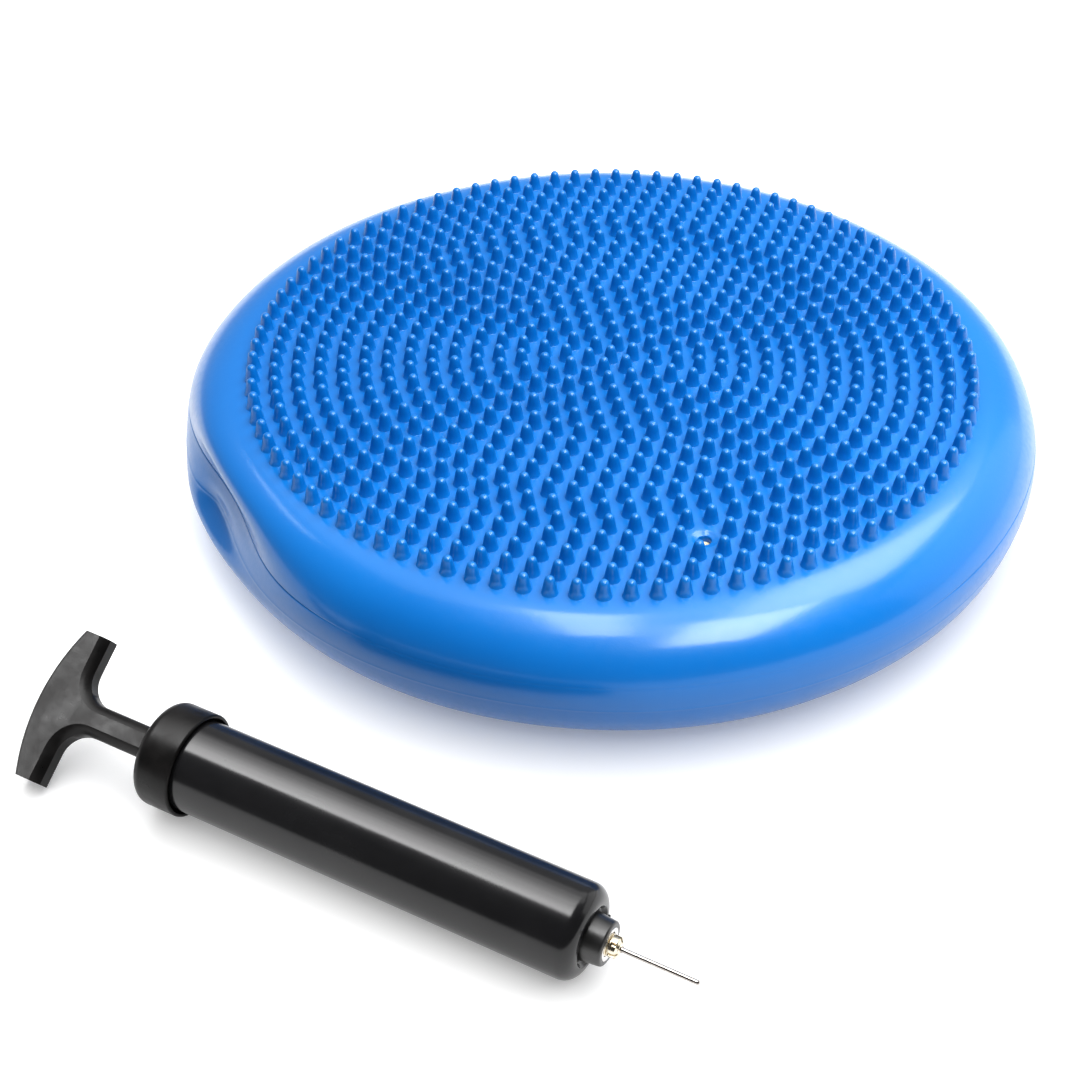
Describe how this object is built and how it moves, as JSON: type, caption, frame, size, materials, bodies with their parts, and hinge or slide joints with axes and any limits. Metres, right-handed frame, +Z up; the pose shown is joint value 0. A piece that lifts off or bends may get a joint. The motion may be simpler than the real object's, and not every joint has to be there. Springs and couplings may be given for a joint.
{
  "type": "balance cushion set",
  "caption": "Round inflatable balance cushion with moulded cone studs on a nearly flat top and a needle valve, with the hand pump that fills it lying beside it.",
  "frame": {"origin": "centre of the cushion's flat underside, on the surface that it lies on", "axes": "+Z up through the studded top, +X to the right and +Y away as the set is seen from its front; the pump lies on the -Y side with its needle towards +X"},
  "size_m": [0.3691, 0.4322, 0.06],
  "materials": {
    "cushion_blue": "semi-gloss soft vinyl",
    "valve_cream": "matt",
    "barrel_black": "gloss",
    "fittings_black": "satin, finely textured",
    "seal_grey": "matt",
    "nickel": "bright plated",
    "champagne_brass": "pale plated brass",
    "needle_steel": "drawn tube",
    "screw_steel": "zinc plated",
    "inner_white": "natural moulded"
  },
  "bodies": {
    "cushion": {"cushion_shell": "cushion_blue", "valve_plug": "valve_cream"},
    "pump": {"pump_barrel": "barrel_black", "pump_cap": "fittings_black", "outlet_seat": "inner_white", "needle_socket": "nickel"},
    "check_ball": {"outlet_ball": "screw_steel"},
    "gasket": {"socket_gasket": "seal_grey"},
    "needle": {"needle_hub": "champagne_brass", "needle_tube": "needle_steel"},
    "cup_seal": {"piston_cup": "seal_grey"},
    "plunger": {"plunger_handle": "fittings_black", "piston_head": "inner_white", "piston_washer": "screw_steel", "piston_screw": "screw_steel"}
  },
  "joints": [
    {"name": "pump_pick_up", "type": "slide", "parent": "cushion", "child": "pump", "axis": [0, 0, 1], "range_m": [0, 0.2]},
    {"name": "ball_lift", "type": "slide", "parent": "pump", "child": "check_ball", "axis": [0.8762, -0.4817, -0.0158], "range_m": [0, 0.0009]},
    {"name": "needle_draw", "type": "slide", "parent": "pump", "child": "gasket", "axis": [0.8762, -0.4817, -0.0158], "range_m": [0, 0.00366]},
    {"name": "needle_unscrew", "type": "hinge", "parent": "gasket", "child": "needle", "pos_m": [-0.00834, -0.25253, 0.01542], "axis": [0.8762, -0.4817, -0.0158], "range_deg": [0, 1350]},
    {"name": "plunger_slide", "type": "slide", "parent": "pump", "child": "cup_seal", "axis": [-0.8762, 0.4817, 0.0158], "range_m": [-0.025, 0.1]},
    {"name": "plunger_turn", "type": "hinge", "parent": "cup_seal", "child": "plunger", "pos_m": [-0.15309, -0.17296, 0.01803], "axis": [-0.8762, 0.4817, 0.0158], "continuous": true}
  ],
  "couplings": [
    {"joint": "needle_unscrew", "follows": "needle_draw", "rad_per_m": 6431.6}
  ]
}
